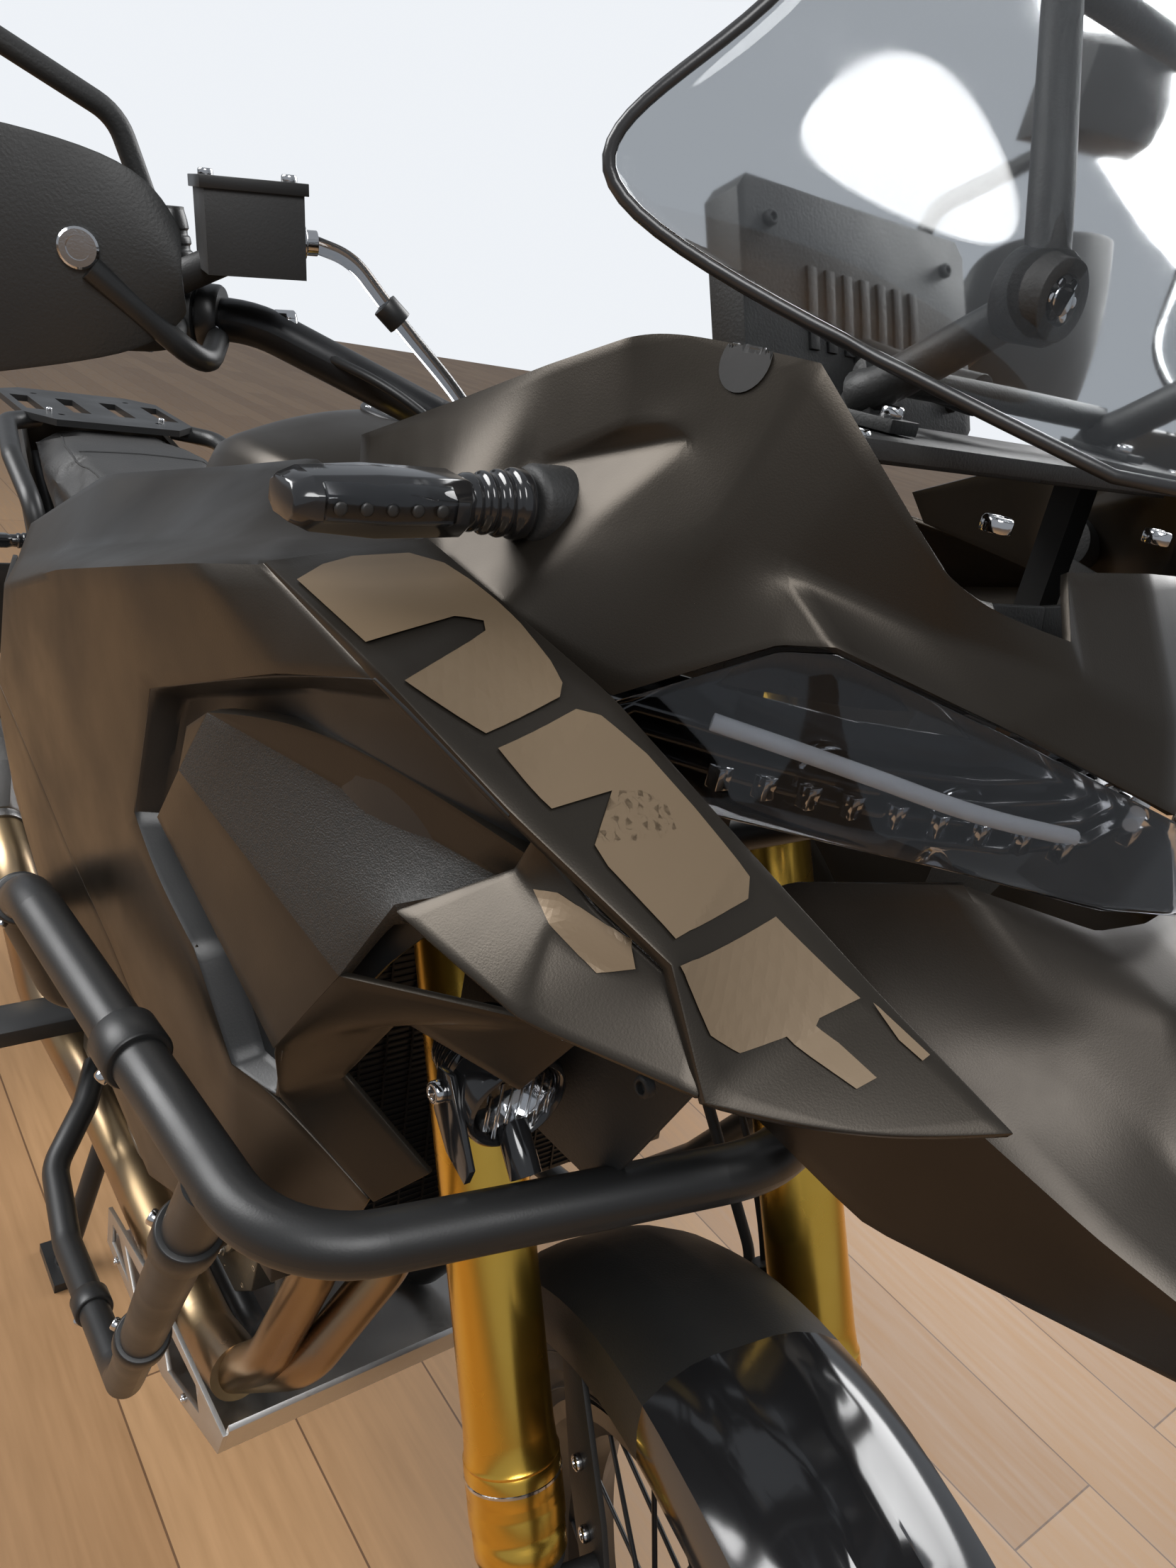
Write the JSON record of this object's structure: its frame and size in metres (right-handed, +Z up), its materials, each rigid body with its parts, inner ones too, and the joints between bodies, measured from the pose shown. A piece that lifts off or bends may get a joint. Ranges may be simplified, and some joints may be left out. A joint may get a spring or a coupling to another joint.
{
  "type": "adventure motorcycle",
  "caption": "Long-travel adventure motorcycle with a tall fairing, side fins, wire-spoked wheels, crash bars, hand guards, rear rack and centre stand.",
  "frame": {"origin": "on the floor, half way between the ends of the motorcycle and between its sides", "axes": "+X forward, +Y to the rider's left, +Z up"},
  "size_m": [2.2064, 0.8739, 1.4203],
  "materials": {
    "frame": "satin",
    "engine": "cast, bronze grey paint",
    "engine_covers": "satin bronze grey",
    "radiator": "black",
    "exhaust_headers": "heat tinted",
    "muffler": "brushed",
    "skid_plate": "brushed",
    "crash_bars": "satin",
    "fuel_tank": "matte",
    "side_shrouds": "satin",
    "wing_fins": "fine grain",
    "lower_shrouds": "fine grain",
    "upper_fairing": "matte",
    "headlight": "smoked",
    "beak": "matte",
    "windscreen": "clear",
    "screen_bracket": "matte",
    "instrument_display": "gloss",
    "indicators": "smoked",
    "fog_lamps": "clear lens in a black bezel",
    "rider_seat": "grained",
    "pillion_seat": "grained",
    "tail_fairing": "matte",
    "rear_rack": "black powder coat",
    "plate_holder": "matte",
    "tail_light": "gloss",
    "swingarm": "satin",
    "rear_shock": "satin",
    "chain": "oiled",
    "footpegs": "satin",
    "rear_caliper": "satin",
    "rear_hugger": "matte",
    "triple_clamps": "black anodised",
    "fork_outers": "gold anodised",
    "fork_inners": "polished",
    "front_fender": "gloss front, satin rear",
    "fork_guards": "matte",
    "front_calipers": "satin",
    "handlebar": "black anodised",
    "hand_guards": "fine grain",
    "bar_controls": "rubber grips, black housings",
    "mirrors": "matte",
    "brake_hoses": "satin",
    "front_tyre": "knobbed",
    "front_rim": "satin",
    "front_discs": "brushed",
    "rear_tyre": "knobbed",
    "rear_rim": "satin",
    "rear_disc": "brushed",
    "rear_sprocket": "satin",
    "centre_stand": "satin",
    "side_stand": "satin"
  },
  "bodies": {
    "root": {"frame": "frame", "engine": "engine", "engine_covers": "engine_covers", "radiator": "radiator", "exhaust_headers": "exhaust_headers", "muffler": "muffler", "skid_plate": "skid_plate", "crash_bars": "crash_bars", "fuel_tank": "fuel_tank", "side_shrouds": "side_shrouds", "wing_fins": "wing_fins", "lower_shrouds": "lower_shrouds", "upper_fairing": "upper_fairing", "headlight": "headlight", "beak": "beak", "windscreen": "windscreen", "screen_bracket": "screen_bracket", "instrument_display": "instrument_display", "indicators": "indicators", "fog_lamps": "fog_lamps", "rider_seat": "rider_seat", "pillion_seat": "pillion_seat", "tail_fairing": "tail_fairing", "rear_rack": "rear_rack", "plate_holder": "plate_holder", "tail_light": "tail_light", "swingarm": "swingarm", "rear_shock": "rear_shock", "chain": "chain", "footpegs": "footpegs", "rear_caliper": "rear_caliper", "rear_hugger": "rear_hugger"},
    "steering": {"triple_clamps": "triple_clamps", "fork_outers": "fork_outers", "fork_inners": "fork_inners", "front_fender": "front_fender", "fork_guards": "fork_guards", "front_calipers": "front_calipers", "handlebar": "handlebar", "hand_guards": "hand_guards", "bar_controls": "bar_controls", "mirrors": "mirrors", "brake_hoses": "brake_hoses"},
    "front_wheel": {"front_tyre": "front_tyre", "front_rim": "front_rim", "front_discs": "front_discs"},
    "rear_wheel": {"rear_tyre": "rear_tyre", "rear_rim": "rear_rim", "rear_disc": "rear_disc", "rear_sprocket": "rear_sprocket"},
    "centre_stand": {"centre_stand": "centre_stand"},
    "side_stand": {"side_stand": "side_stand"}
  },
  "joints": [
    {"name": "steering", "type": "hinge", "parent": "root", "child": "steering", "pos_m": [0.6834, 0, 0.35517], "axis": [-0.454, 0, 0.891], "range_deg": [-20.5, 51.5]},
    {"name": "front_wheel_spin", "type": "hinge", "parent": "steering", "child": "front_wheel", "pos_m": [0.75306, -0.01597, 0.34528], "axis": [0.2381, 0.9636, 0.1213], "continuous": true},
    {"name": "rear_wheel_spin", "type": "hinge", "parent": "root", "child": "rear_wheel", "pos_m": [-0.755, 0, 0.352], "axis": [0, 1, 0], "continuous": true},
    {"name": "centre_stand_fold", "type": "hinge", "parent": "root", "child": "centre_stand", "pos_m": [-0.215, 0, 0.262], "axis": [0, 1, 0], "range_deg": [0, 80]},
    {"name": "side_stand_swing", "type": "hinge", "parent": "root", "child": "side_stand", "pos_m": [-0.052, 0.128, 0.246], "axis": [-0.143, -0.8891, -0.4349], "range_deg": [0, 108.4]}
  ]
}
